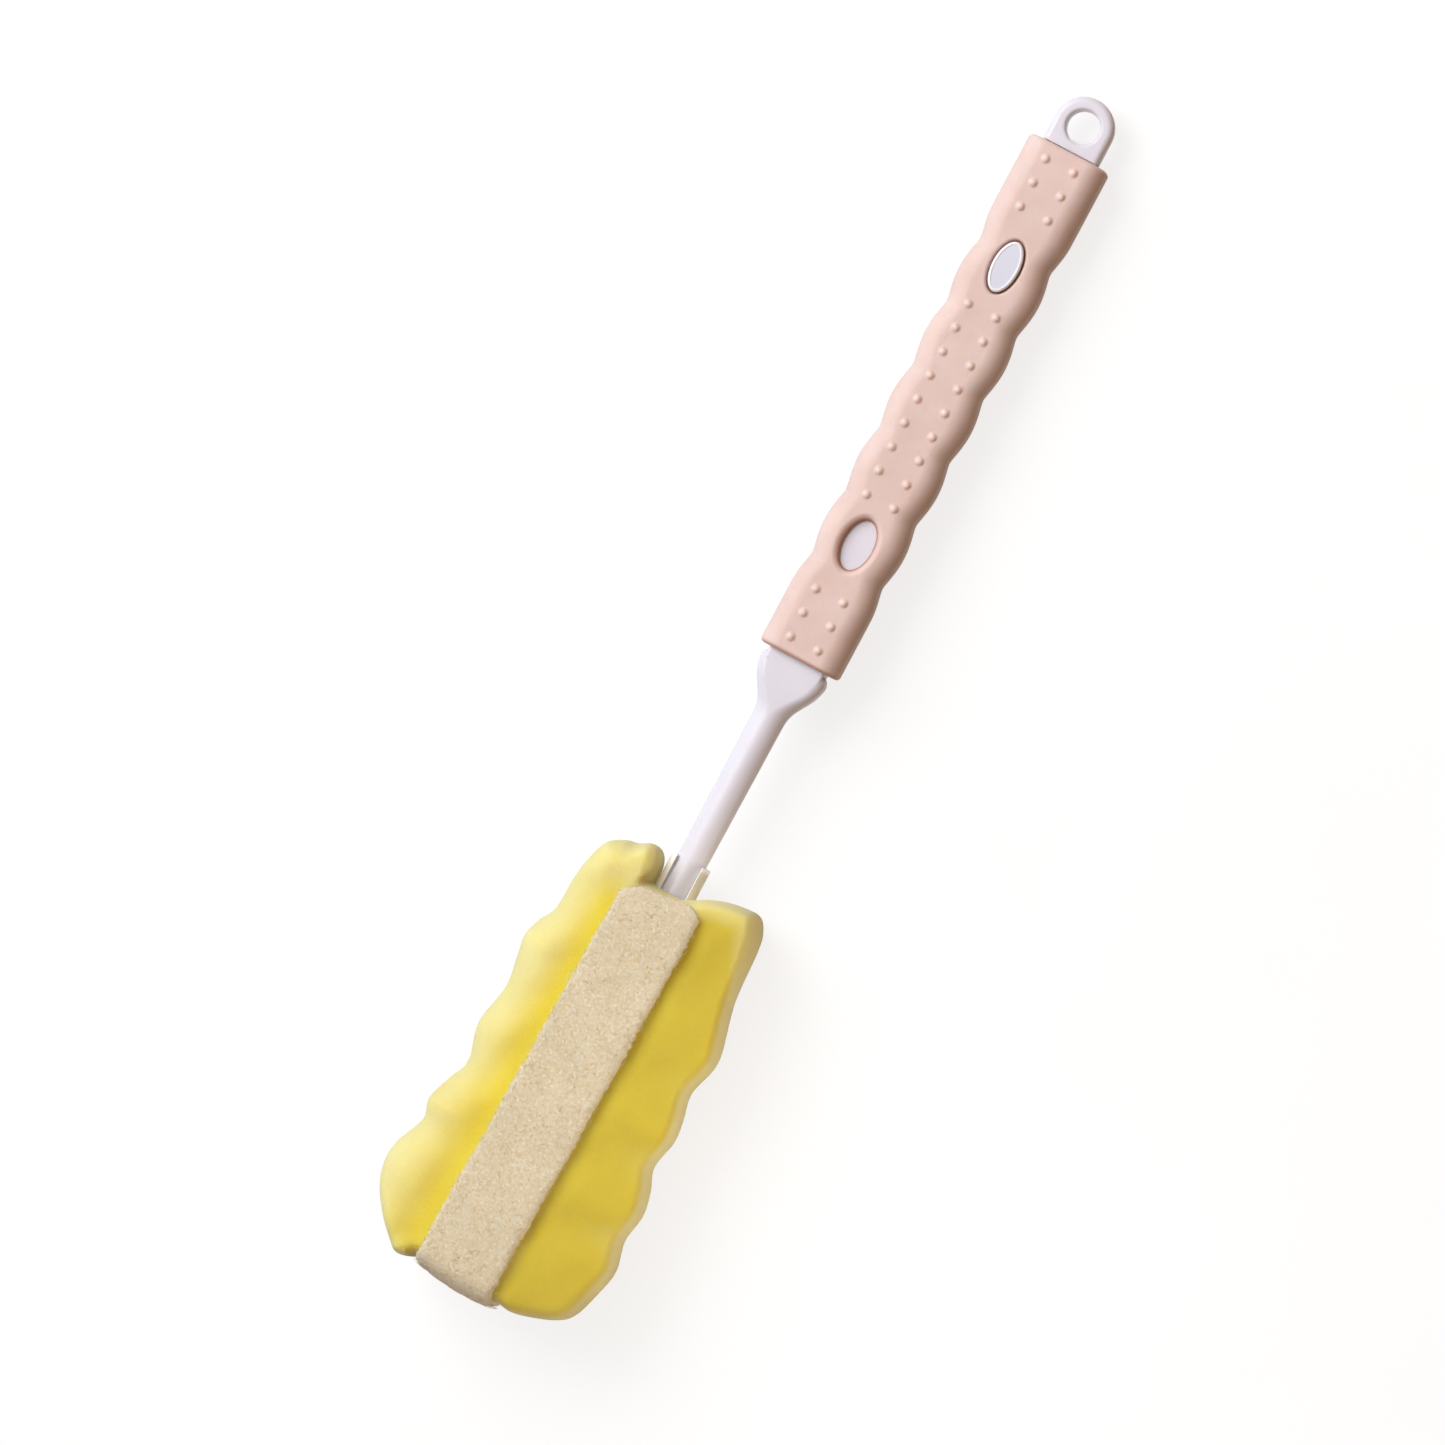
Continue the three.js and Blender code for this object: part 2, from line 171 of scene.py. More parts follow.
def rounded_rectangle(a, b, half_a, half_b, radius, power=2.0):
    """A bar's cross-section. A power under 2 makes its round corners flatter, like soft chamfers."""
    over_a = np.maximum(np.abs(a) - half_a + radius, 0)
    over_b = np.maximum(np.abs(b) - half_b + radius, 0)
    corner = (over_a**power + over_b**power) ** (1 / power)
    inner = np.minimum(np.maximum(np.abs(a) - half_a, np.abs(b) - half_b) + radius, 0)
    return corner + inner - radius


def oval(a, b, half_a, half_b):
    first = np.hypot(a / half_a, b / half_b)
    second = np.hypot(a / half_a**2, b / half_b**2)
    return first * (first - 1) / np.maximum(second, 1e-6)


def ease(value, low, high):
    """Rises smoothly from 0 at low to 1 at high."""
    t = np.clip((value - low) / (high - low), 0, 1)
    return t * t * (3 - 2 * t)


def bezier(points, steps=40):
    """Points on the cubic curve with these four controls."""
    t = np.linspace(0, 1, steps)[:, None]
    a, b, c, d = np.array(points, float)
    return (1 - t) ** 3 * a + 3 * (1 - t) ** 2 * t * b + 3 * (1 - t) * t**2 * c + t**3 * d


taper = bezier([
    (shoulder.bottom - 1.5, stem.top_diameter / 2),
    (shoulder.bottom + 3.5, stem.top_diameter / 2),
    (shoulder.widest - 5.5, shoulder.width / 2 - 0.7),
    (shoulder.widest, shoulder.width / 2),
])


def stem_field(x, s, z):
    """The round stem, which widens into the flat-fronted shoulder under the grip."""
    thin, thick = stem.bottom_diameter / 2, stem.top_diameter / 2
    radius = np.interp(s, [stem.narrow_station, shoulder.bottom], [thin, thick])
    widened = s > taper[0, 0]
    half_width = np.where(widened, np.interp(s, taper[:, 0], taper[:, 1]), radius)
    top_drop = np.clip((s - shoulder.widest) / (grip.bottom - gap - shoulder.widest), 0, 0.999)
    half_width = half_width - shoulder.top_corner * (1 - np.sqrt(1 - top_drop**2))
    flattened = ease(s, shoulder.bottom - 1.5, shoulder.widest - 3)
    half_depth = radius + (shoulder.thickness / 2 - thick) * flattened
    corner = radius + (shoulder.edge - radius) * flattened
    section = rounded_rectangle(x, z, half_width, half_depth, corner)
    return both(section, between(s, tang.end, grip.bottom - gap), tang.edge)


def eye_field(x, s, z):
    """The hang eye: a round-ended plate with a hole."""
    centre = total_length - eye.width / 2
    outline = np.hypot(x, np.maximum(s - centre, 0)) - eye.width / 2
    plate = both(outline, np.abs(z) - eye.thickness / 2, eye.edge)
    plate = both(plate, grip.top + gap - s, 0.2)
    return both(plate, eye.hole / 2 - np.hypot(x, s - centre), eye.hole_edge)


def handle_field(x, s, z):
    """The white moulding, from its eye down to the tang that goes into the head."""
    bar = rounded_rectangle(x, z, spine.width / 2, spine.thickness / 2, 0.6)
    bar = both(bar, between(s, shoulder.widest, spine.top), 0.4)
    throat = rounded_rectangle(x, z, neck.width / 2, neck.thickness / 2, 0.5)
    throat = np.maximum(throat, between(s, spine.top - 3, neck.top))
    keys = rounded_rectangle(x, z, tang.key_width / 2, tang.key_reach, 0.3)
    keys = both(keys, between(s, tang.key_bottom, tang.key_top), 0.3)
    body = either(stem_field(x, s, z), keys, 0.2)
    whole = np.minimum(np.minimum(body, bar), np.minimum(throat, eye_field(x, s, z)))
    peg_hole = np.hypot(x, s - upper_window.station) - badge.peg / 2 - gap
    return both(whole, -np.maximum(peg_hole, badge.peg_end - gap - z), 0.15)


def grip_half_width(s):
    """Straight near both ends, and between them bulging crests with narrow waists."""
    waves = (s - scallop.first_waist) / scallop.pitch
    scalloped = (waves > -0.5) & (waves < scallop.count - 0.5)
    crest = np.sqrt(np.sin(np.pi * waves) ** 2 + 0.02)
    return grip.width / 2 - np.where(scalloped, scallop.depth * (1.01 - crest), 0)


def domes_field(x, s, z):
    """The rows of small domes down the front and the back of the grip."""
    radius = (dome.diameter**2 / 4 + dome.height**2) / (2 * dome.height)
    height = grip.thickness / 2 + dome.height - radius
    nearest = np.full(np.broadcast(x, s, z).shape, 1e3)
    for first, count in dome_rows:
        row = np.clip(np.round((s - first) / dome.pitch), 0, count - 1)
        along = s - first - row * dome.pitch
        ball = np.sqrt((np.abs(x) - dome.column) ** 2 + along**2 + (np.abs(z) - height) ** 2) - radius
        nearest = np.minimum(nearest, ball)
    return nearest


def window_field(window, x, s, z):
    """An oval opening in the front of the sleeve, wider at the surface than at the spine."""
    narrowest = (badge.width - window.width) / 2 + window.least
    spread = np.maximum(window.slope * (z - grip.thickness / 2), narrowest)
    opening = oval(x, s - window.station, window.width / 2 + spread, window.length / 2 + spread)
    return np.maximum(opening, 1 - z)


def grip_field(x, s, z):
    """The soft sleeve, with its bore for the spine and its mouth for the neck."""
    section = rounded_rectangle(x, z, grip_half_width(s), grip.thickness / 2, grip.corner)
    outside = both(section, between(s, grip.bottom, grip.top), grip.end_edge)
    outside = either(outside, domes_field(x, s, z), dome.fillet)
    for window in (upper_window, lower_window):
        outside = both(outside, -window_field(window, x, s, z), window.lip)
    bore = rounded_rectangle(x, z, spine.width / 2 + gap, spine.thickness / 2 + gap, 0.6)
    bore = np.maximum(bore, s - spine.top - gap)
    mouth = rounded_rectangle(x, z, neck.width / 2 + snug, neck.thickness / 2 + snug, 0.5)
    return both(outside, -np.minimum(bore, mouth), 0.12)


def badge_middle(x, along):
    """The oval inside the badge's rim."""
    return oval(x, along, badge.width / 2 - badge.rim, badge.length / 2 - badge.rim)


def badge_field(x, s, z):
    """The oval badge, sunk a little inside its rim, with the peg behind it."""
    along = s - upper_window.station
    top = grip.thickness / 2 + badge.proud
    floor = spine.thickness / 2 + gap
    plate = both(oval(x, along, badge.width / 2, badge.length / 2), z - top, badge.edge)
    plate = both(plate, -both(badge_middle(x, along), top - badge.recess - z, 0.05), 0.15)
    plate = both(plate, floor - z, 0.1)
    peg = both(np.hypot(x, along) - badge.peg / 2, between(z, badge.peg_end, floor + 0.5), 0.2)
    return np.minimum(plate, peg)


def paddle_outline(x, s, grown=0.0):
    """The paddle inside the head, seen from the front."""
    along = s - (paddle.bottom + paddle.top) / 2
    half, half_length = paddle.width / 2 + grown, (paddle.top - paddle.bottom) / 2 + grown
    return rounded_rectangle(x, along, half, half_length, paddle.corner)


def socket_field(x, s, z):
    """The clear insert: a split tube with two ears, and a flat paddle with glue windows."""
    plate = paddle_outline(x, s)
    row = np.clip(np.round((s - glue_window.first) / glue_window.pitch), 0, glue_window.rows - 1)
    window = rounded_rectangle(
        np.abs(x) - glue_window.column, s - glue_window.first - row * glue_window.pitch,
        glue_window.width / 2, glue_window.length / 2, 2,
    )
    plate = both(both(plate, -window, 0.1), np.abs(z) - paddle.thickness / 2, 0.3)
    away = np.hypot(x, z)
    tube = both(away - socket.diameter / 2, between(s, socket.bottom, socket.top), 0.35)
    whole = either(plate, tube, 0.5)
    whole = both(whole, -np.maximum(away - socket.bore / 2, socket.bore_end - s), 0.15)
    slot = np.maximum(np.abs(x) - socket_slot.key_width / 2, tang.key_bottom - gap - s)
    ears = both(np.abs(x) - socket_slot.ear_gap / 2, socket_slot.ear_root - s, 0.6)
    return both(whole, -np.minimum(slot, ears), 0.3)


# ---- Foam ----

def smooth_line(points, steps=6):
    """A Catmull-Rom curve through the points."""
    p = np.array(points, float)
    p = np.vstack([2 * p[0] - p[1], p, 2 * p[-1] - p[-2]])
    t = np.linspace(0, 1, steps, endpoint=False)[:, None]
    parts = []
    for a, b, c, d in zip(p, p[1:], p[2:], p[3:]):
        square, cube = 2 * a - 5 * b + 4 * c - d, 3 * b - a - 3 * c + d
        parts.append(0.5 * (2 * b + (c - a) * t + square * t**2 + cube * t**3))
    return np.vstack([*parts, p[-2:-1]])


def inside_depth(outline, x, s):
    """How far each point lies inside a closed outline: negative outside it."""
    nearest = np.full(x.shape, 1e9)
    inside = np.zeros(x.shape, bool)
    for (x0, s0), (x1, s1) in zip(outline, np.roll(outline, -1, axis=0)):
        dx, ds = x1 - x0, s1 - s0
        t = np.clip(((x - x0) * dx + (s - s0) * ds) / (dx * dx + ds * ds + 1e-12), 0, 1)
        nearest = np.minimum(nearest, (x - x0 - t * dx) ** 2 + (s - s0 - t * ds) ** 2)
        if s0 != s1:
            inside ^= ((s0 > s) != (s1 > s)) & (x < x0 + (s - s0) * dx / ds)
    return np.where(inside, 1, -1) * np.sqrt(nearest)


foam_grid = Sizes(x=-34.0, s=-4.0, cell=0.25, columns=273, rows=489)


def depth_table():
    """inside_depth at every point of foam_grid, worked out once because it is slow."""
    right = [(distance, station) for station, distance in smooth_line(right_side)]
    left = [(-distance, station) for station, distance in smooth_line(left_side)]
    outline = np.array(right + left[::-1])
    x = foam_grid.x + foam_grid.cell * np.arange(foam_grid.columns)[:, None]
    s = foam_grid.s + foam_grid.cell * np.arange(foam_grid.rows)[None, :]
    return inside_depth(outline, *np.broadcast_arrays(x, s))


foam_depths = depth_table()


def foam_depth(x, s):
    """The depth inside the foam's outline, read between the table's points."""
    x, s = np.broadcast_arrays(x, s)
    column = np.clip((x - foam_grid.x) / foam_grid.cell, 0, foam_grid.columns - 1.001)
    row = np.clip((s - foam_grid.s) / foam_grid.cell, 0, foam_grid.rows - 1.001)
    i, j = column.astype(int), row.astype(int)
    u, v = column - i, row - j
    low = foam_depths[i, j] * (1 - u) + foam_depths[i + 1, j] * u
    high = foam_depths[i, j + 1] * (1 - u) + foam_depths[i + 1, j + 1] * u
    return low * (1 - v) + high * v


def strip_centre(s):
    """The strip runs down the head a little askew."""
    return np.interp(s, [0, 40, 105], [-2.0, -1.1, 0.1])


def ripples(seed, x, s, count=14, shortest=7.0, longest=22.0):
    """Soft random hills and hollows, from -1 to 1 or so."""
    rng = np.random.default_rng(seed)
    total = 0
    for _ in range(count):
        angle, phase = rng.uniform(0, math.pi), rng.uniform(0, 2 * math.pi)
        pitch = rng.uniform(shortest, longest)
        wave = (x * math.cos(angle) + s * math.sin(angle)) * 2 * math.pi / pitch
        total = total + np.sin(wave + phase)
    return total / math.sqrt(count)


def bulge(x, s):
    """1 at the bulges down each side of the head, -1 at the waists between them."""
    sides = []
    for stations in (left_bulges, right_bulges):
        turns = np.interp(s, stations, np.pi * np.arange(1, len(stations) + 1))
        sides.append(np.cos(turns))
    return sides[0] + (sides[1] - sides[0]) * ease(x, -6, 6)


def groove_depth(x, s):
    """How deep the foam dips beside the strip, where it is drawn in."""
    off = x - strip_centre(s)
    aside = np.abs(off) - strip.width / 2
    left = off < 0
    width = np.where(left, np.interp(s, [0, 105], groove.left_wide), groove.right_wide)
    depth = np.where(left, groove.left_deep, groove.right_deep)
    shape = np.minimum(ease(aside, -1.8, 0.6), 1 - ease(aside, 0.4, width))
    return depth * shape * ease(s, -2, 9) * (1 - 0.85 * ease(s, 96, 105))


def foam_height(x, s, seed):
    """The height of the foam's face above the axis, away from its rounded edges."""
    off = x - strip_centre(s)
    aside = ease(np.abs(off), 9, 17)
    hilly = np.where(off < 0, hills.left, hills.right) * bulge(x, s) * aside
    hilly = (hilly + hills.ripple * ripples(seed, x, s)) * (0.25 + 0.75 * aside)
    past = off - hills.slant_from
    slanted = foam.slant * (np.sqrt(past**2 + 4) + past) / 2
    return foam.height - groove_depth(x, s) + hilly - 0.4 * aside - slanted


def edge_width(x, s):
    """How far in from its outline the foam is still rounding over."""
    top = ease(s, 94, 105)
    tip = 1 - ease(s, 6, 22)
    side = foam.left_edge + (foam.right_edge - foam.left_edge) * ease(x, -4, 4)
    end = foam.left_end + (foam.right_end - foam.left_end) * ease(x, -14, -8)
    width = side + (end - side) * top
    return width + (foam.tip_edge - width) * tip


def foam_skin(side, x, s, z):
    """The head's rounded outside, without the cut between its front and back pads."""
    rise = side * z
    seed = 11 if side > 0 else 12
    rim = edge_width(x, s)
    over = np.maximum(rim - foam_depth(x, s), 0) / rim
    up = np.maximum(rise, 0) / foam_height(x, s, seed)
    power = foam.tip_roundness + (foam.roundness - foam.tip_roundness) * ease(s, 8, 18)
    return ((over**power + up**power) ** (1 / power) - 1) * rim


def foam_field(side, x, s, z):
    """The front pad where side is 1 and the back pad where it is -1, with room for the clear insert."""
    pad = both(foam_skin(side, x, s, z), foam.seam - side * z, 0.03)
    room = np.maximum(paddle_outline(x, s, gap), np.abs(z) - paddle.thickness / 2 - gap)
    tube = np.maximum(np.hypot(x, z) - socket.diameter / 2 - gap, socket.bottom - gap - s)
    return both(pad, -np.minimum(room, tube), 0.3)


# ---- Meshes ----

def slopes(field, points, step=0.01):
    """The field's gradient at each point."""
    columns = []
    for axis in range(3):
        offset = np.zeros(3)
        offset[axis] = step
        ahead, behind = (points + offset).T, (points - offset).T
        columns.append((field(*ahead) - field(*behind)) / (2 * step))
    return np.column_stack(columns)


def onto_surface(field, points, reach, rounds=4):
    """Moves points to the nearest place where the field is zero."""
    for _ in range(rounds):
        slope = slopes(field, points)
        steepness = np.maximum((slope**2).sum(1), 1e-4)
        move = slope * (field(*points.T) / steepness)[:, None]
        far = np.maximum(np.linalg.norm(move, axis=1) / reach, 1)
        points = points - move / far[:, None]
    return points


CORNERS = [(i, j, k) for i in (0, 1) for j in (0, 1) for k in (0, 1)]
EDGES = [(a, b) for a in range(8) for b in range(a) if bin(a ^ b).count("1") == 1]


def surface_net(field, low, high, cell):
    """A closed mesh of quads where the field is zero, with one vertex in each grid cell it crosses."""
    low, high, cell = (np.array(v, float) for v in (low, high, cell))
    counts = np.ceil((high - low) / cell).astype(int) + 1
    lines = [low[a] + cell[a] * np.arange(counts[a]) for a in range(3)]
    grid = np.meshgrid(*lines, indexing="ij", sparse=True)
    values = np.broadcast_to(field(*grid), counts)
    inside = values < 0
    cells = tuple(counts - 1)
    corner = [tuple(slice(c, c + n) for c, n in zip(offset, cells)) for offset in CORNERS]
    filled = sum(inside[c].astype(np.uint8) for c in corner)
    active = (filled > 0) & (filled < 8)
    at = np.argwhere(active)
    corner_values = np.column_stack([values[c][active] for c in corner])
    offsets = np.array(CORNERS, float)
    total, crossings = np.zeros((len(at), 3)), np.zeros(len(at))
    for a, b in EDGES:
        va, vb = corner_values[:, a], corner_values[:, b]
        crossed = (va < 0) != (vb < 0)
        t = np.where(crossed, va / np.where(crossed, va - vb, 1), 0)
        total += np.where(crossed[:, None], offsets[a] + t[:, None] * (offsets[b] - offsets[a]), 0)
        crossings += crossed
    points = low + (at + total / crossings[:, None]) * cell
    number = np.full(cells, -1)
    number[active] = np.arange(len(at))
    faces = []
    for axis in range(3):
        start = [slice(None)] * 3
        end = [slice(None)] * 3
        start[axis], end[axis] = slice(0, -1), slice(1, None)
        before, after = inside[tuple(start)], inside[tuple(end)]
        edge = np.argwhere(before != after)
        leaving = before[tuple(edge.T)]
        u, v = np.eye(3, dtype=int)[(axis + 1) % 3], np.eye(3, dtype=int)[(axis + 2) % 3]
        quad = np.column_stack([number[tuple((edge - o).T)] for o in (0 * u, u, u + v, v)])
        quad[~leaving] = quad[~leaving][:, ::-1]
        faces.append(quad)
    return onto_surface(field, points, cell.min() / 2), np.vstack(faces)


def mesh_object(name, points, faces, normals=None, **attributes):
    """A smooth object. Each attribute is a list with a number for every point."""
    mesh = bpy.data.meshes.new(name)
    mesh.from_pydata(row_points(points).tolist(), [], [list(face) for face in faces])
    for label, values in attributes.items():
        mesh.attributes.new(label, "FLOAT", "POINT").data.foreach_set("value", values.astype(np.float32))
    mesh.polygons.foreach_set("use_smooth", np.ones(len(mesh.polygons), bool))
    if normals is not None:
        mesh.normals_split_custom_set_from_vertices(normals.tolist())
    piece = bpy.data.objects.new(name, mesh)
    bpy.context.scene.collection.objects.link(piece)
    return piece


def thinned(points, faces, ratio):
    """The same surface with fewer faces where it is flat."""
    rough = mesh_object("rough", points, faces)
    rough.modifiers.new("thin", "DECIMATE").ratio = ratio
    graph = bpy.context.evaluated_depsgraph_get()
    mesh = bpy.data.meshes.new_from_object(rough.evaluated_get(graph))
    co = np.empty(len(mesh.vertices) * 3)
    mesh.vertices.foreach_get("co", co)
    kept = (co.reshape(-1, 3) - row_points(np.zeros(3))) / MM
    polygons = [tuple(p.vertices) for p in mesh.polygons]
    bpy.data.objects.remove(rough)
    bpy.data.meshes.remove(mesh)
    return kept, polygons


def without_slivers(points, faces):
    """The same mesh without the faces that have shrunk to nothing."""
    rough = bpy.data.meshes.new("rough")
    rough.from_pydata(points.tolist(), [], faces)
    work = bmesh.new()
    work.from_mesh(rough)
    bmesh.ops.dissolve_degenerate(work, dist=0.004, edges=work.edges[:])
    bmesh.ops.triangulate(work, faces=work.faces[:])
    work.verts.index_update()
    kept = np.array([vertex.co[:] for vertex in work.verts])
    polygons = [tuple(vertex.index for vertex in face.verts) for face in work.faces]
    work.free()
    bpy.data.meshes.remove(rough)
    return kept, polygons


def unit(vectors):
    """The vectors, all made one long."""
    return vectors / np.maximum(np.linalg.norm(vectors, axis=1), 1e-9)[:, None]


def solid(name, field, low, high, cell, keep, colour=None):
    """A piece with the field's surface. keep is the share of faces that stay when it is thinned, and
    colour gives each vertex a number for its material to use.
    """
    points, faces = surface_net(field, low, high, (cell,) * 3)
    points, faces = thinned(points, faces, keep)
    points = onto_surface(field, points, 0.1, 2)
    points, faces = without_slivers(points, faces)
    attributes = colour(points) if colour else {}
    return mesh_object(name, points, faces, unit(slopes(field, points)), **attributes)


def closed_seam(points, faces, skin, side):
    """Draws the rim of a pad's split face out to the skin, so that the two pads meet in a hairline."""
    thin, near, reach = 0.03, 0.05, 0.8
    depth = skin(*points.T)
    flat = np.abs(side * points[:, 2] - foam.seam) < thin
    wall = ~flat & (depth > -near)
    beside = np.zeros(len(points), bool)
    for first, second in ((0, 1), (1, 2), (2, 3), (3, 0)):
        a, b = faces[:, first], faces[:, second]
        beside[a[wall[b]]] = True
        beside[b[wall[a]]] = True
    rim = flat & beside & (depth > -reach)
    points = points.copy()
    for _ in range(4):
        level = slopes(skin, points[rim]) * np.array([1, 1, 0])
        move = skin(*points[rim].T) / np.maximum((level**2).sum(1), 1e-4)
        points[rim] -= level * move[:, None]
    points[rim, 2] = side * foam.seam
    return points


def foam_pad(name, side):
    """The front pad where side is 1, or the back pad where it is -1, shaded by the smooth skin."""
    field, skin = partial(foam_field, side), partial(foam_skin, side)
    bottom, top = (-1, 17) if side > 0 else (-17, 1)
    points, faces = surface_net(field, (-33, -1, bottom), (33, 117, top), foam.cell)
    points = closed_seam(points, faces, skin, side)
    slope = slopes(field, points)
    outer = np.abs(skin(*points.T)) < 0.3
    slope[outer] = slopes(skin, points[outer])
    return mesh_object(name, points, faces, unit(slope), **foam_painted_shade(side, points))


# ---- Scouring strip ----

def strip_path():
    """The strip's middle surface, seen from the side: up the front, round the tip and up the back."""
    power, rim, height = foam.tip_roundness, foam.tip_edge, foam.height
    straight = np.arange(strip.top, foam.tip + rim, -0.1)
    turn = np.linspace(math.pi / 2, 0, 400)
    bend_s = foam.tip + rim * (1 - np.cos(turn) ** (2 / power))
    bend_z = height * np.sin(turn) ** (2 / power)
    s = np.concatenate([straight, bend_s[1:]])
    z = np.concatenate([np.full(len(straight), height), bend_z[1:]])
    z = z + 0.3 * np.sin(s * 2 * math.pi / 23 + 0.8) * ease(s, 8, 20)
    s, z = np.concatenate([s, s[-2::-1]]), np.concatenate([z, -z[-2::-1]])
    tangent = np.column_stack([np.gradient(s), np.gradient(z)])
    tangent /= np.linalg.norm(tangent, axis=1)[:, None]
    outward = np.column_stack([tangent[:, 1], -tangent[:, 0]])
    out = strip.clearance + strip.thickness / 2
    line = np.column_stack([s, z]) + outward * out
    along = np.concatenate([[0], np.cumsum(np.linalg.norm(np.diff(line, axis=0), axis=1))])
    return along, line, outward


strip_along, strip_line, strip_outward = strip_path()
strip_length = strip_along[-1]
apart = 40  # so far apart in their patterns, the strip's two edges and its two faces don't look alike


def on_strip(along, across, out):
    """A point of the strip: along it from its front end, across it, and out from its middle."""
    s, z, out_s, out_z = (
        np.interp(along, strip_along, column) for column in (*strip_line.T, *strip_outward.T))
    s = s + np.maximum(-along, 0) + np.maximum(along - strip_length, 0)
    folded = (0.25 + strip.fold_bow * (across - 4) ** 2) * (1 - ease(s, 2, 24))
    sag = strip.end_sag * ease(s, 100, 107) * (1 - 0.75 * ease(np.abs(across - 0.5), 3, 7))
    height = z + out_z * out
    return np.column_stack([strip_centre(s) + across, s + folded + out_s * out, height - np.sign(z) * sag])


def cell_noise(seed, a, b):
    """Scattered pits: the distance to the nearest of many random points, and that point's number."""
    rng = np.random.default_rng(seed)
    size = 512
    jitter, number = rng.uniform(0.05, 0.95, (size, size, 2)), rng.uniform(0, 1, (size, size))
    i, j = np.floor(a).astype(int), np.floor(b).astype(int)
    nearest, which = np.full(a.shape, 9.0), np.zeros(a.shape)
    for di in (-1, 0, 1):
        for dj in (-1, 0, 1):
            p, q = (i + di) % size, (j + dj) % size
            distance = np.hypot(i + di + jitter[p, q, 0] - a, j + dj + jitter[p, q, 1] - b)
            closer = distance < nearest
            nearest, which = np.where(closer, distance, nearest), np.where(closer, number[p, q], which)
    return nearest, which


def strip_relief(along, across):
    """The open web's height over its middle surface, and how deep in a pit each point is."""
    near, chance = cell_noise(21, along / 0.95, across / 0.95)
    pit = np.exp(-((near / 0.32) ** 2)) * ease(chance, 0.6, 1.0)
    fine, _ = cell_noise(22, along / 0.7, across / 0.7)
    web = 0.5 - fine
    lie = 0.04 * ripples(23, along, across, shortest=4, longest=12)
    return 0.1 * web + lie - 0.22 * pit, pit


def end_trim(across):
    """How far a cut end of the strip stands back: more at its rounded corners, and a little askew."""
    left = across < 0
    inward = strip.width / 2 - np.abs(across)
    corner = np.where(left, 2.4, 2.8) * (1 - ease(inward, -0.6, np.where(left, 5, 4.2)))
    return corner - 0.11 * across - 0.3 + 0.15 * ripples(33, across, 0 * across, shortest=1.5, longest=5)


def strip_piece():
    """The strip as a closed sleeve of rows: across its outer face, round an edge, back, and round again."""
    rows = int(strip_length / strip.step)
    columns = int(strip.width / strip.step)
    flat_half = strip.width / 2 - strip.bend
    along = np.linspace(0, strip_length, rows)
    across = np.linspace(-1, 1, columns) * flat_half
    bend = np.linspace(0, math.pi, 5)[1:-1]
    side_across, side_out = flat_half + strip.bend * np.sin(bend), np.cos(bend)
    ring_across = np.concatenate([across, side_across, across[::-1], -side_across[::-1]])
    half = np.ones(columns)
    ring_out = np.concatenate([half, side_out, -half, -side_out])
    along, across = (v.ravel() for v in np.meshgrid(along, ring_across, indexing="ij"))
    out = np.broadcast_to(ring_out, (rows, len(ring_out))).ravel()
    edge = ease(np.abs(across), strip.width / 2 - 1.6, strip.width / 2)
    side = np.sign(across)
    ragged = 0.2 * ripples(31, along, apart * side, shortest=1.0, longest=2.4)
    ragged += 0.12 * ripples(32, along, apart * side, shortest=8, longest=30)
    relief, pit = strip_relief(along, across + apart * (out < 0))
    shift = end_trim(across) * (1 - ease(np.minimum(along, strip_length - along), 0, 10))
    shift = shift * np.sign(strip_length / 2 - along)
    curl = -0.35 * edge**2
    height = out * (strip.thickness / 2 - 0.25 * edge) + np.maximum(out, 0) * relief + curl
    points = on_strip(along + shift, across + ragged * edge * side, height)
    number = np.arange(rows * len(ring_across)).reshape(rows, -1)
    following = np.roll(number, -1, axis=1)
    walls = np.stack([number[:-1], number[1:], following[1:], following[:-1]], axis=-1)
    faces = [tuple(face) for face in walls.reshape(-1, 4)]
    for ring, flip in ((number[0], 1), (number[-1], -1)):
        outer, right = ring[:columns], ring[columns:columns + 3]
        inner, left = ring[columns + 3:2 * columns + 3][::-1], ring[2 * columns + 3:]
        for j in range(columns - 1):
            faces.append((outer[j], outer[j + 1], inner[j + 1], inner[j])[::flip])
        faces.append((outer[-1], *right, inner[-1])[::flip])
        faces.append((inner[0], *left, outer[0])[::flip])
    return mesh_object("scouring_strip_web", points, faces, pit=pit * (out > 0))


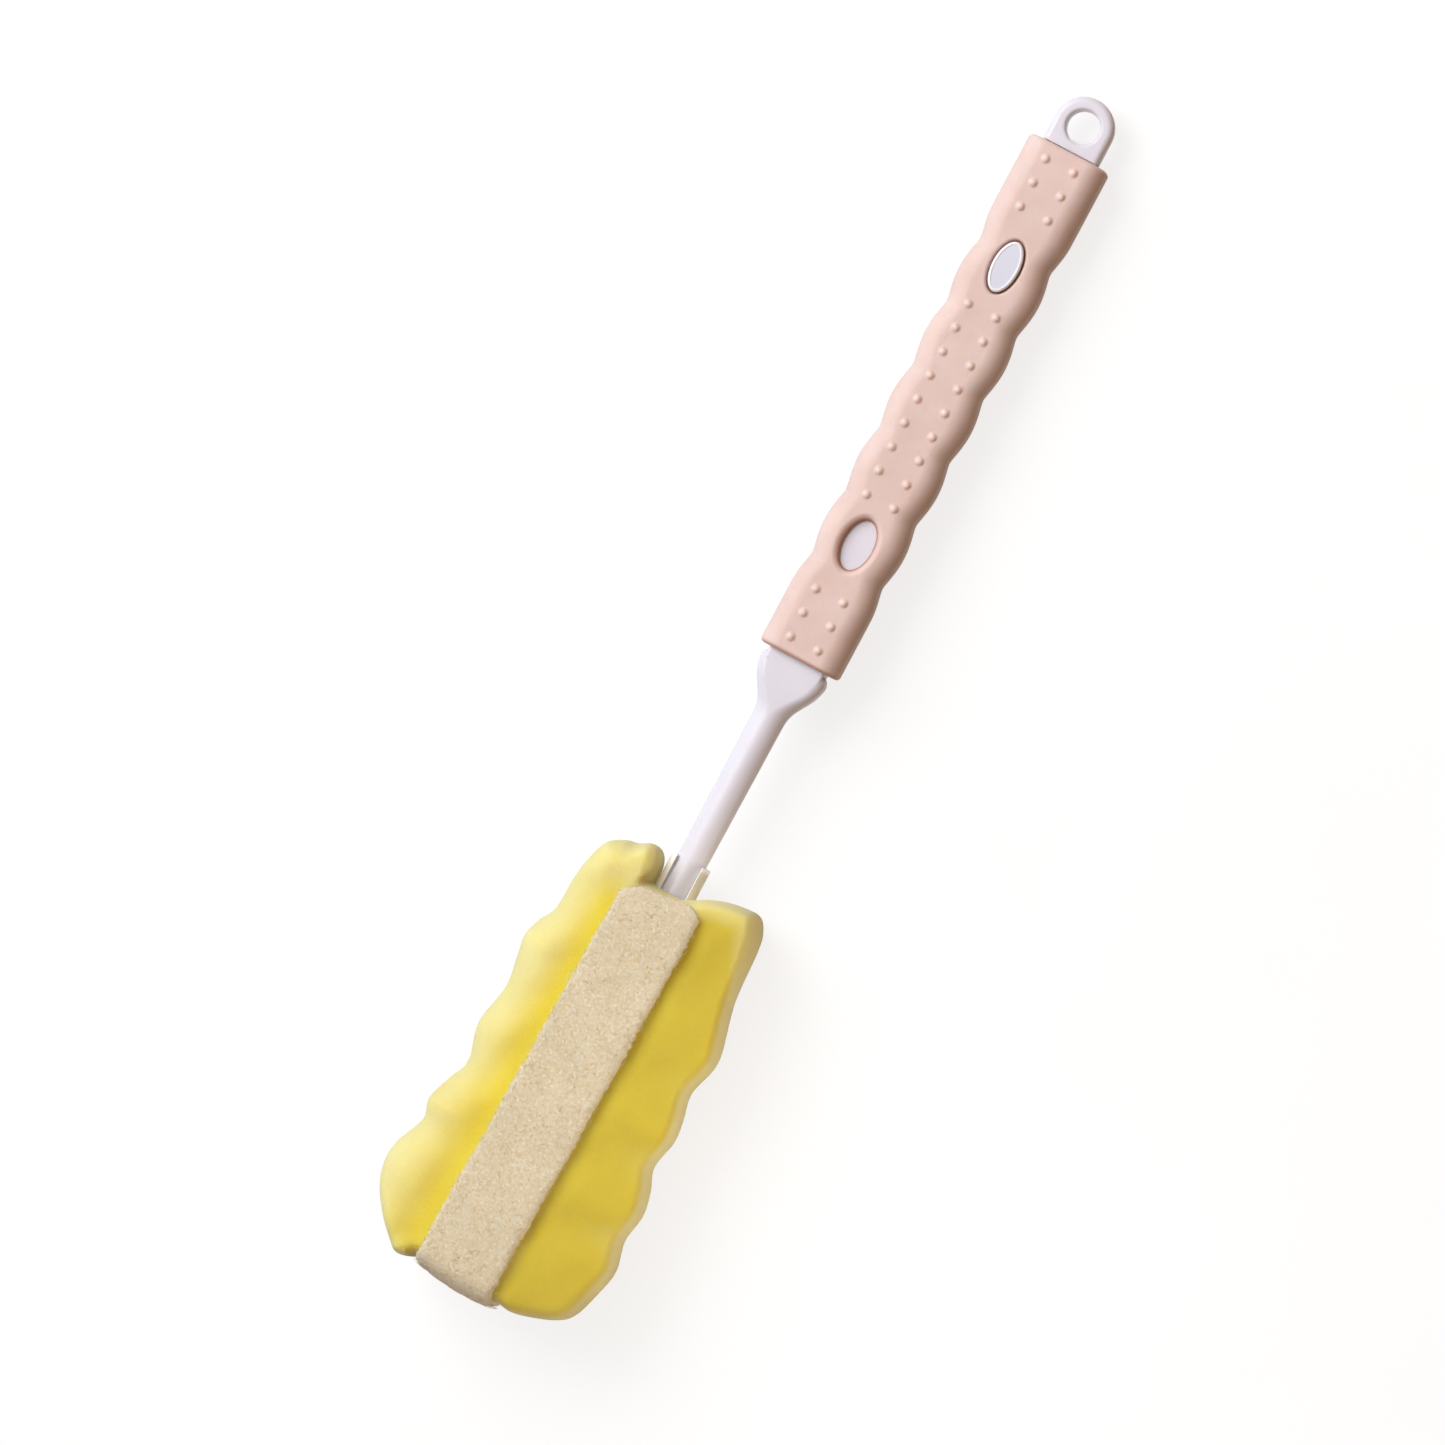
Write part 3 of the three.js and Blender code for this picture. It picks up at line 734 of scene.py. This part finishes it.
def fibre_paths(rng):
    """The knots of every fibre, and its thickness. The random draws are made in a set order."""
    count, half = fibre.count, strip.width / 2
    along = rng.uniform(1.5, strip_length - 1.5, count)
    across = rng.uniform(-1, 1, count) * half
    at_edge = rng.uniform(0, 1, count) < fibre.at_edge
    across = np.where(at_edge, np.sign(across) * (half - 0.5), across)
    heading = np.where(at_edge, np.sign(across) * math.pi / 2, 0) + rng.normal(0, 1.1, count)
    heading = np.where(at_edge, heading, rng.uniform(0, 2 * math.pi, count))
    turn = rng.normal(0, 0.55, count)
    step = rng.uniform(0.25, 0.75, count) * np.where(at_edge, 0.5, 1)
    thickness = rng.uniform(fibre.thinnest, fibre.thickest, count)
    lift = rng.uniform(0.0, 0.08, count)
    path = []
    for knot in range(fibre.knots):
        relief, _ = strip_relief(along, across)
        over_edge = np.maximum(np.abs(across) - half, 0)
        arch = lift * math.sin(math.pi * knot / (fibre.knots - 1))
        height = strip.thickness / 2 + np.where(over_edge > 0, 0, relief) + arch - 0.5 * over_edge
        height = np.where(at_edge, height - rng.uniform(0.2, 1.2), height)
        path.append(on_strip(along, across, height))
        along = np.clip(along + step * np.cos(heading), 0.3, strip_length - 0.3)
        across = np.clip(across + step * np.sin(heading), -half - 0.7, half + 0.7)
        heading = heading + turn
    return np.stack(path, axis=1), thickness


def fibres_piece():
    """Loose curly fibres lying on the strip and standing out of its edges."""
    path, thickness = fibre_paths(np.random.default_rng(41))
    tangent = np.gradient(path, axis=1)
    tangent /= np.maximum(np.linalg.norm(tangent, axis=2), 1e-6)[:, :, None]
    reference = np.array([0.3, 0.5, 0.81])
    first = np.cross(tangent, reference)
    first /= np.maximum(np.linalg.norm(first, axis=2), 1e-6)[:, :, None]
    second = np.cross(tangent, first)
    angle = (np.arange(fibre.sides) * 2 * math.pi / fibre.sides)[:, None]
    ring = first[:, :, None] * np.cos(angle) + second[:, :, None] * np.sin(angle)
    points = path[:, :, None] + ring * thickness[:, None, None, None]
    number = np.arange(points.size // 3).reshape(points.shape[:3])
    following = np.roll(number, -1, axis=2)
    walls = [number[:, :-1], following[:, :-1], following[:, 1:], number[:, 1:]]
    faces = [tuple(face) for face in np.stack(walls, axis=-1).reshape(-1, 4)]
    faces += [tuple(face) for face in number[:, 0, ::-1]] + [tuple(face) for face in number[:, -1]]
    return mesh_object("strip_fibres", points.reshape(-1, 3), faces)


# ---- Materials ----

def linear(red, green, blue):
    """A colour given as it looks on a screen, 0 to 255, as the linear colour that shaders use."""
    def one(v):
        v = v / 255
        return v / 12.92 if v <= 0.04045 else ((v + 0.055) / 1.055) ** 2.4
    return (one(red), one(green), one(blue), 1.0)


def add_node(tree, kind, inputs=(), **settings):
    """A new shader node. Each of its inputs is given a value, or another node's output to link to."""
    made = tree.nodes.new("ShaderNode" + kind)
    for key, value in settings.items():
        setattr(made, key, value)
    for socket, value in dict(inputs).items():
        if isinstance(value, bpy.types.NodeSocket):
            tree.links.new(value, made.inputs[socket])
        else:
            made.inputs[socket].default_value = value
    return made


def blend(tree, share, a, b):
    """Colour a turned into colour b, where share is 1."""
    return add_node(tree, "Mix", {"Factor": share, 6: a, 7: b}, data_type="RGBA").outputs[2]


class Finish:
    """A Principled material, with helpers for the node patterns that drive it. Its other inputs are given
    by name, with an underscore for each space.
    """

    def __init__(self, name, **sockets):
        self.material = bpy.data.materials.new(name)
        self.material.use_nodes = True
        self.tree = self.material.node_tree
        self.shader = self.tree.nodes["Principled BSDF"]
        for label, value in sockets.items():
            self.shader.inputs[label.replace("_", " ")].default_value = value
        self.place = self.tree.nodes.new("ShaderNodeTexCoord").outputs["Object"]

    def node(self, kind, inputs=(), **settings):
        return add_node(self.tree, kind, inputs, **settings)

    def noise(self, size, detail=3.0, roughness=0.5):
        """Clouds whose blobs are about size millimetres across."""
        inputs = {"Vector": self.place, "Scale": 1 / (size * MM), "Detail": detail, "Roughness": roughness}
        return self.node("TexNoise", inputs).outputs["Fac"]

    def cells(self, size):
        """The distance to the middle of the nearest cell. Cells are about size millimetres across."""
        inputs = {"Vector": self.place, "Scale": 1 / (size * MM)}
        return self.node("TexVoronoi", inputs, feature="F1").outputs["Distance"]

    def attribute(self, name):
        return self.node("Attribute", attribute_name=name).outputs["Fac"]

    def span(self, value, low, high, to_low=0.0, to_high=1.0):
        """value, stretched so that low to high becomes to_low to to_high, and held there."""
        inputs = {"Value": value, "From Min": low, "From Max": high, "To Min": to_low, "To Max": to_high}
        return self.node("MapRange", inputs).outputs["Result"]

    def maths(self, operation, a, b):
        return self.node("Math", {0: a, 1: b}, operation=operation).outputs[0]

    def mix(self, share, a, b):
        return blend(self.tree, share, a, b)

    def tint(self, skin, pattern, strength, colour):
        """The skin, tinted where the pattern is high."""
        return self.mix(self.maths("MULTIPLY", pattern, strength), skin, linear(*colour))

    def paint(self, colour, roughness=None):
        self.tree.links.new(colour, self.shader.inputs["Base Color"])
        if roughness:
            self.tree.links.new(roughness, self.shader.inputs["Roughness"])

    def bumps(self, *layers):
        """Layers of relief, each a pattern and its depth in millimetres."""
        normal = None
        for pattern, depth in layers:
            inputs = {"Height": pattern, "Distance": depth * MM, "Strength": 1.0}
            if normal is not None:
                inputs["Normal"] = normal
            normal = self.node("Bump", inputs).outputs["Normal"]
        self.tree.links.new(normal, self.shader.inputs["Normal"])

    def parting_line(self):
        """1 on the mould's parting line, a hair-thin ridge round the sides at the axis's height."""
        height = self.node("SeparateXYZ", {0: self.place}).outputs["Z"]
        away = self.maths("ABSOLUTE", self.maths("SUBTRACT", height, axis_height), 0.0)
        return self.span(away, 0.00005, 0.00016, 1.0, 0.0)


def moulded_plastic(name, colour, shade, rim=None):
    """Satin plastic, mottled between two colours, with a third on a raised rim as a painted highlight."""
    finish = Finish(name, IOR=1.49, Subsurface_Weight=0.12, Subsurface_Scale=0.004)
    tone = finish.span(finish.noise(22, 2), 0.3, 0.7)
    flow = finish.noise(5, 4, 0.6)
    skin = finish.mix(tone, linear(*colour), linear(*shade))
    if rim:
        # a painted highlight on the badge's raised rim
        skin = finish.mix(finish.attribute("rim"), skin, linear(*rim))
    finish.paint(skin, finish.span(flow, 0.3, 0.75, 0.3, 0.46))
    finish.bumps((finish.noise(0.5, 2), 0.006), (finish.noise(6, 2), 0.03), (finish.parting_line(), 0.05))
    return finish.material


def clear_plastic():
    """Clear plastic that reads as milky. A weak glow stands in for the light that comes through it."""
    finish = Finish("clear_plastic", IOR=1.3, Emission_Strength=0.1, Emission_Color=(1, 0.97, 0.9, 1))
    haze = finish.noise(3, 3)
    finish.paint(
        finish.mix(finish.span(haze, 0.3, 0.7), linear(251, 250, 247), linear(244, 243, 238)),
        finish.span(haze, 0.3, 0.7, 0.25, 0.4))
    finish.bumps((finish.noise(4, 2), 0.01))
    return finish.material


def peach_rubber():
    finish = Finish(
        "peach_rubber", IOR=1.44, Subsurface_Weight=0.35, Subsurface_Scale=0.0025,
        Subsurface_Radius=(1.0, 0.45, 0.25),
    )
    clouds = finish.span(finish.noise(9, 3), 0.32, 0.68)
    specks = finish.span(finish.noise(0.7, 2), 0.62, 0.8)
    skin = finish.mix(clouds, linear(228, 204, 197), linear(222, 196, 188))
    skin = finish.tint(skin, specks, 0.35, (205, 165, 143))
    worn = finish.attribute("worn")
    skin = finish.tint(skin, worn, 0.5, (240, 217, 206))
    # painted shade: brown on the windows' walls where shade falls in them, and darker towards the sleeve's
    # bottom edge
    skin = finish.tint(skin, finish.attribute("window_shade_edge_dark"), 0.8, (172, 106, 66))
    rough = finish.span(finish.noise(2.5, 3), 0.3, 0.7, 0.5, 0.64)
    finish.paint(skin, finish.maths("SUBTRACT", rough, finish.maths("MULTIPLY", worn, 0.12)))
    finish.bumps((finish.noise(0.32, 3, 0.6), 0.035), (finish.noise(4, 2), 0.05))
    return finish.material


def yellow_foam():
    finish = Finish(
        "yellow_foam", Roughness=0.92, Subsurface_Weight=0.85, Subsurface_Scale=0.006,
        Subsurface_Radius=(1.0, 0.85, 0.3), Sheen_Weight=0.15, Sheen_Roughness=0.6, Specular_IOR_Level=0.25,
    )
    clouds = finish.span(finish.noise(14, 3), 0.3, 0.7)
    skin = finish.mix(clouds, linear(229, 219, 149), linear(225, 212, 135))
    # painted shade: deep yellow in the groove beside the strip, and mustard over the right lobe, which
    # faces away from the light
    skin = finish.mix(finish.attribute("groove_shade"), skin, linear(237, 217, 66))
    skin = finish.mix(finish.attribute("right_lobe_shade"), skin, linear(212, 193, 66))
    pores = finish.cells(0.55)
    holes = finish.span(pores, 0.0, 0.32, 1.0, 0.0)
    finish.paint(finish.tint(skin, holes, 0.12, (214, 184, 60)))
    pitted = finish.span(pores, 0.0, 0.6)
    finish.bumps((pitted, 0.07), (finish.noise(0.3, 3, 0.65), 0.06), (finish.noise(2.5, 2), 0.1))
    return finish.material


def scouring_web(name, light, dark, pit_colour):
    """Open fibre web: clouds of two colours with darker grains, pale crumbs, warm specks and pits."""
    finish = Finish(name, Roughness=0.85, Sheen_Weight=0.15, Specular_IOR_Level=0.3)
    clouds = finish.span(finish.noise(6, 3), 0.3, 0.7)
    grain = finish.span(finish.noise(0.8, 2, 0.6), 0.4, 0.62)
    crumbs = finish.span(finish.noise(0.6, 2, 0.6), 0.56, 0.68)
    specks = finish.span(finish.noise(1.3, 3, 0.6), 0.6, 0.72)
    skin = finish.mix(clouds, linear(*light), linear(*dark))
    skin = finish.tint(skin, grain, 0.6, (206, 184, 142))
    skin = finish.tint(skin, crumbs, 0.5, (243, 234, 212))
    skin = finish.tint(skin, specks, 0.5, (226, 190, 120))
    warm = finish.span(finish.noise(2.2, 2), 0.5, 0.7)
    pits = finish.span(finish.attribute("pit"), 0.25, 0.95)
    hollow = finish.mix(warm, linear(*pit_colour), linear(216, 168, 96))
    finish.paint(finish.mix(pits, skin, hollow))
    finish.bumps((finish.noise(0.35, 4, 0.7), 0.09), (finish.cells(0.8), 0.1))
    return finish.material


def floor_finish():
    """A lit table, like a product photographer's: it glows a little, so that shadows on it stay faint."""
    finish = Finish("pale_floor", Roughness=0.75, Emission_Strength=0.8, Emission_Color=(1, 1, 1, 1))
    tone = finish.span(finish.noise(60, 3), 0.3, 0.7)
    finish.paint(finish.mix(tone, linear(128, 128, 128), linear(124, 124, 124)))
    return finish.material


# ---- Pieces ----

def place(piece, finish, body, slot, *nodes):
    """Gives a piece its material and body, and hides the CAD nodes it stands for. The slot is not used."""
    piece.data.materials.append(finish)
    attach(piece, body)
    if nodes:
        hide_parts(*nodes)


def sleeve_wear_and_shade(points):
    """The grip's domes are rubbed pale. Its windows' walls get a painted brown shade, and it is painted
    darker along its bottom edge.
    """
    x, s, z = points.T
    over = np.abs(z) - grip.thickness / 2
    # painted darker towards the sleeve's bottom edge
    darkened = 0.7 * (1 - ease(s - grip.bottom, 0.1, 1.0))
    for window in (upper_window, lower_window):
        wall = np.abs(window_field(window, x, s, z))
        depth = ease(-over, window.dirt, 3 * window.dirt + 0.5)
        # painted shade on the window's walls, below the sleeve's surface
        corner = (1 - ease(wall, 0.1, 0.7)) * depth * (z > 0)
        darkened = np.maximum(darkened, corner)
    return {"worn": ease(over, 0.1, dome.height), "window_shade_edge_dark": darkened}


def badge_rim_highlight(points):
    """The badge's raised rim is painted paler than its middle, a painted highlight on its bevel."""
    x, s, z = points.T
    inner = badge_middle(x, s - upper_window.station)
    return {"rim": ease(inner, -0.12, 0.05) * (z > grip.thickness / 2)}


def foam_painted_shade(side, points):
    """The foam's face gets painted shade: a deeper yellow in the groove left of the strip, where shade and
    yellow bounce light fall, and all over its right lobe, which faces away from the light.
    """
    x, s, z = points.T
    margin = np.interp(s, [92, 106], [1.3, 8])
    face = ease(side * z, 6, 12) * ease(foam_depth(x, s), 0, margin)
    right = ease(x, 6, 11)
    groove_shade = np.clip(groove_depth(x, s) / groove.left_deep, 0, 0.92) * face
    return {"groove_shade": groove_shade * (1 - right), "right_lobe_shade": right * face}


def make_handle():
    white = moulded_plastic("white_plastic", (225, 223, 233), (220, 218, 229))
    half, reach = shoulder.width / 2 + 1, 6
    low, high = (-half, tang.end - 1, -reach), (half, total_length + 1, reach)
    core = solid("handle_moulding", handle_field, low, high, cell=0.35, keep=0.4)
    place(core, white, "handle", "white_plastic", "handle_core")

    half, reach = grip.width / 2 + 1, grip.thickness / 2 + dome.height + 0.6
    low, high = (-half, grip.bottom - 1, -reach), (half, grip.top + 1, reach)
    sleeve = solid("soft_grip", grip_field, low, high, cell=0.3, keep=0.45, colour=sleeve_wear_and_shade)
    place(sleeve, peach_rubber(), "handle", "peach_rubber", "grip_sleeve")

    half, half_length = badge.width / 2 + 0.6, badge.length / 2 + 0.6
    low = (-half, upper_window.station - half_length, badge.peg_end - 0.6)
    high = (half, upper_window.station + half_length, grip.thickness / 2 + 1)
    oval_plate = solid("badge_inlay", badge_field, low, high, cell=0.15, keep=0.5, colour=badge_rim_highlight)
    # the third colour is a painted highlight on the badge's rim
    plate = moulded_plastic("badge_plastic", (217, 220, 234), (211, 215, 230), (243, 241, 247))
    place(oval_plate, plate, "handle", "badge_plastic", "oval_badge")


def make_head():
    half, reach = paddle.width / 2 + 1, 6
    low, high = (-half, paddle.bottom - 1, -reach), (half, socket.top + 1, reach)
    insert = solid("clear_socket", socket_field, low, high, cell=0.35, keep=0.4)
    place(insert, clear_plastic(), "head", "clear_plastic", "head_socket")

    yellow = yellow_foam()
    for name, node, side in (("front_pad", "foam_front", 1), ("back_pad", "foam_back", -1)):
        pad = foam_pad(name, side)
        place(pad, yellow, "head", "yellow_foam", node)

    web = strip_piece()
    cream = scouring_web("cream_fibre", (219, 209, 184), (209, 199, 173), (180, 154, 100))
    place(web, cream, "head", "cream_fibre", "scouring_strip")
    fibres = fibres_piece()
    # the loose fibres are painted paler than the web, a painted highlight against the shade on these thin
    # raised strands
    strands = scouring_web("cream_strands_painted_pale", (240, 228, 202), (234, 219, 188), (214, 196, 160))
    place(fibres, strands, "head", "cream_fibre")


# ---- Floor, light and camera ----

def make_floor():
    """The brush rests on the top end of its strip's back and on the top end of its grip."""
    head_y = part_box("scouring_strip")[1].y
    handle_y, handle_z = grip_high.y - grip.corner * MM, grip_low.z
    slope = math.atan2(handle_z - cad_low.z, handle_y - head_y)
    half = 6.0
    corners = [(-half, -half, 0), (half, -half, 0), (half, half, 0), (-half, half, 0)]
    mesh = bpy.data.meshes.new("floor")
    mesh.from_pydata(corners, [], [(0, 1, 2, 3)])
    mesh.materials.append(floor_finish())
    floor = bpy.data.objects.new("floor", mesh)
    floor.location = (0, head_y, cad_low.z)
    floor.rotation_euler = (slope, 0, 0)
    floor.visible_diffuse = False
    bpy.context.scene.collection.objects.link(floor)


def looking(at, stand, up):
    """The matrix of a camera or a lamp that stands at one point and looks at another."""
    back = (stand - at).normalized()
    right = up.cross(back).normalized()
    true_up = back.cross(right)
    matrix = Matrix((right, true_up, back)).transposed().to_4x4()
    matrix.translation = stand
    return matrix


def soft_lamp(name, at, offset, size, power, colour=(1, 1, 1), spread=180):
    """A square lamp that stands at an offset, in metres, from what it lights."""
    lamp = bpy.data.lights.new(name, "AREA")
    lamp.spread = math.radians(spread)
    lamp.shape, lamp.size, lamp.size_y = "RECTANGLE", size, size
    lamp.energy, lamp.color = power, colour
    holder = bpy.data.objects.new(name, lamp)
    holder.matrix_world = looking(at, at + Vector(offset), Vector((0, 1, 0.01)))
    bpy.context.scene.collection.objects.link(holder)


def make_lamps():
    """A big soft lamp high on the left, a weaker one nearly overhead, and a narrow one low on the right
    that reaches only the foam's side.
    """
    middle, head = (cad_low + cad_high) / 2, (foam_low + foam_high) / 2
    soft_lamp("key", middle, (-0.78, 0.3, 0.95), size=0.9, power=12.8)
    soft_lamp("top", middle, (-0.45, 0.1, 1.2), size=0.8, power=2.6)
    soft_lamp("kicker", head, (0.6, -0.1, 0.16), size=0.12, power=0.028, colour=(1, 0.97, 0.88), spread=14)


def make_room():
    """A dim room, cool on the left and darker and warmer on the right, that the camera sees as white."""
    world = bpy.data.worlds.new("studio")
    world.use_nodes = True
    tree = world.node_tree
    split = add_node(tree, "SeparateXYZ", {0: add_node(tree, "TexCoord").outputs["Generated"]})
    across = {"Value": split.outputs["X"], "From Min": -0.6, "From Max": 0.3}
    rightward = add_node(tree, "MapRange", across).outputs["Result"]
    seen = add_node(tree, "LightPath").outputs["Is Camera Ray"]
    cool, warm, pale = (0.52, 0.54, 0.58, 1), (0.25, 0.145, 0.07, 1), (0.85, 0.85, 0.85, 1)
    backdrop = blend(tree, seen, blend(tree, rightward, cool, warm), pale)
    tree.links.new(backdrop, tree.nodes["Background"].inputs["Color"])
    bpy.context.scene.world = world
    bpy.context.scene.view_settings.view_transform = "Standard"


def make_camera():
    """Above the brush and a little to its right, with the handle leaning to the right in the frame."""
    frame_width, distance, tilt, lean = 0.3364, 2.8, math.radians(7), math.radians(28.3)
    middle_x, middle_station = -9.05, 146.15
    at = Vector((middle_x * MM, tip_y + middle_station * MM, axis_height))
    back = Vector((math.sin(tilt), 0, math.cos(tilt)))
    camera = bpy.data.cameras.new("camera")
    camera.sensor_width = 36.0
    camera.lens = camera.sensor_width * distance / frame_width
    holder = bpy.data.objects.new("camera", camera)
    up = Vector((-math.sin(lean), math.cos(lean), 0))
    holder.matrix_world = looking(at, at + back * distance, up)
    bpy.context.scene.collection.objects.link(holder)
    bpy.context.scene.camera = holder


make_camera()
make_handle()
make_head()
make_floor()
make_lamps()
make_room()
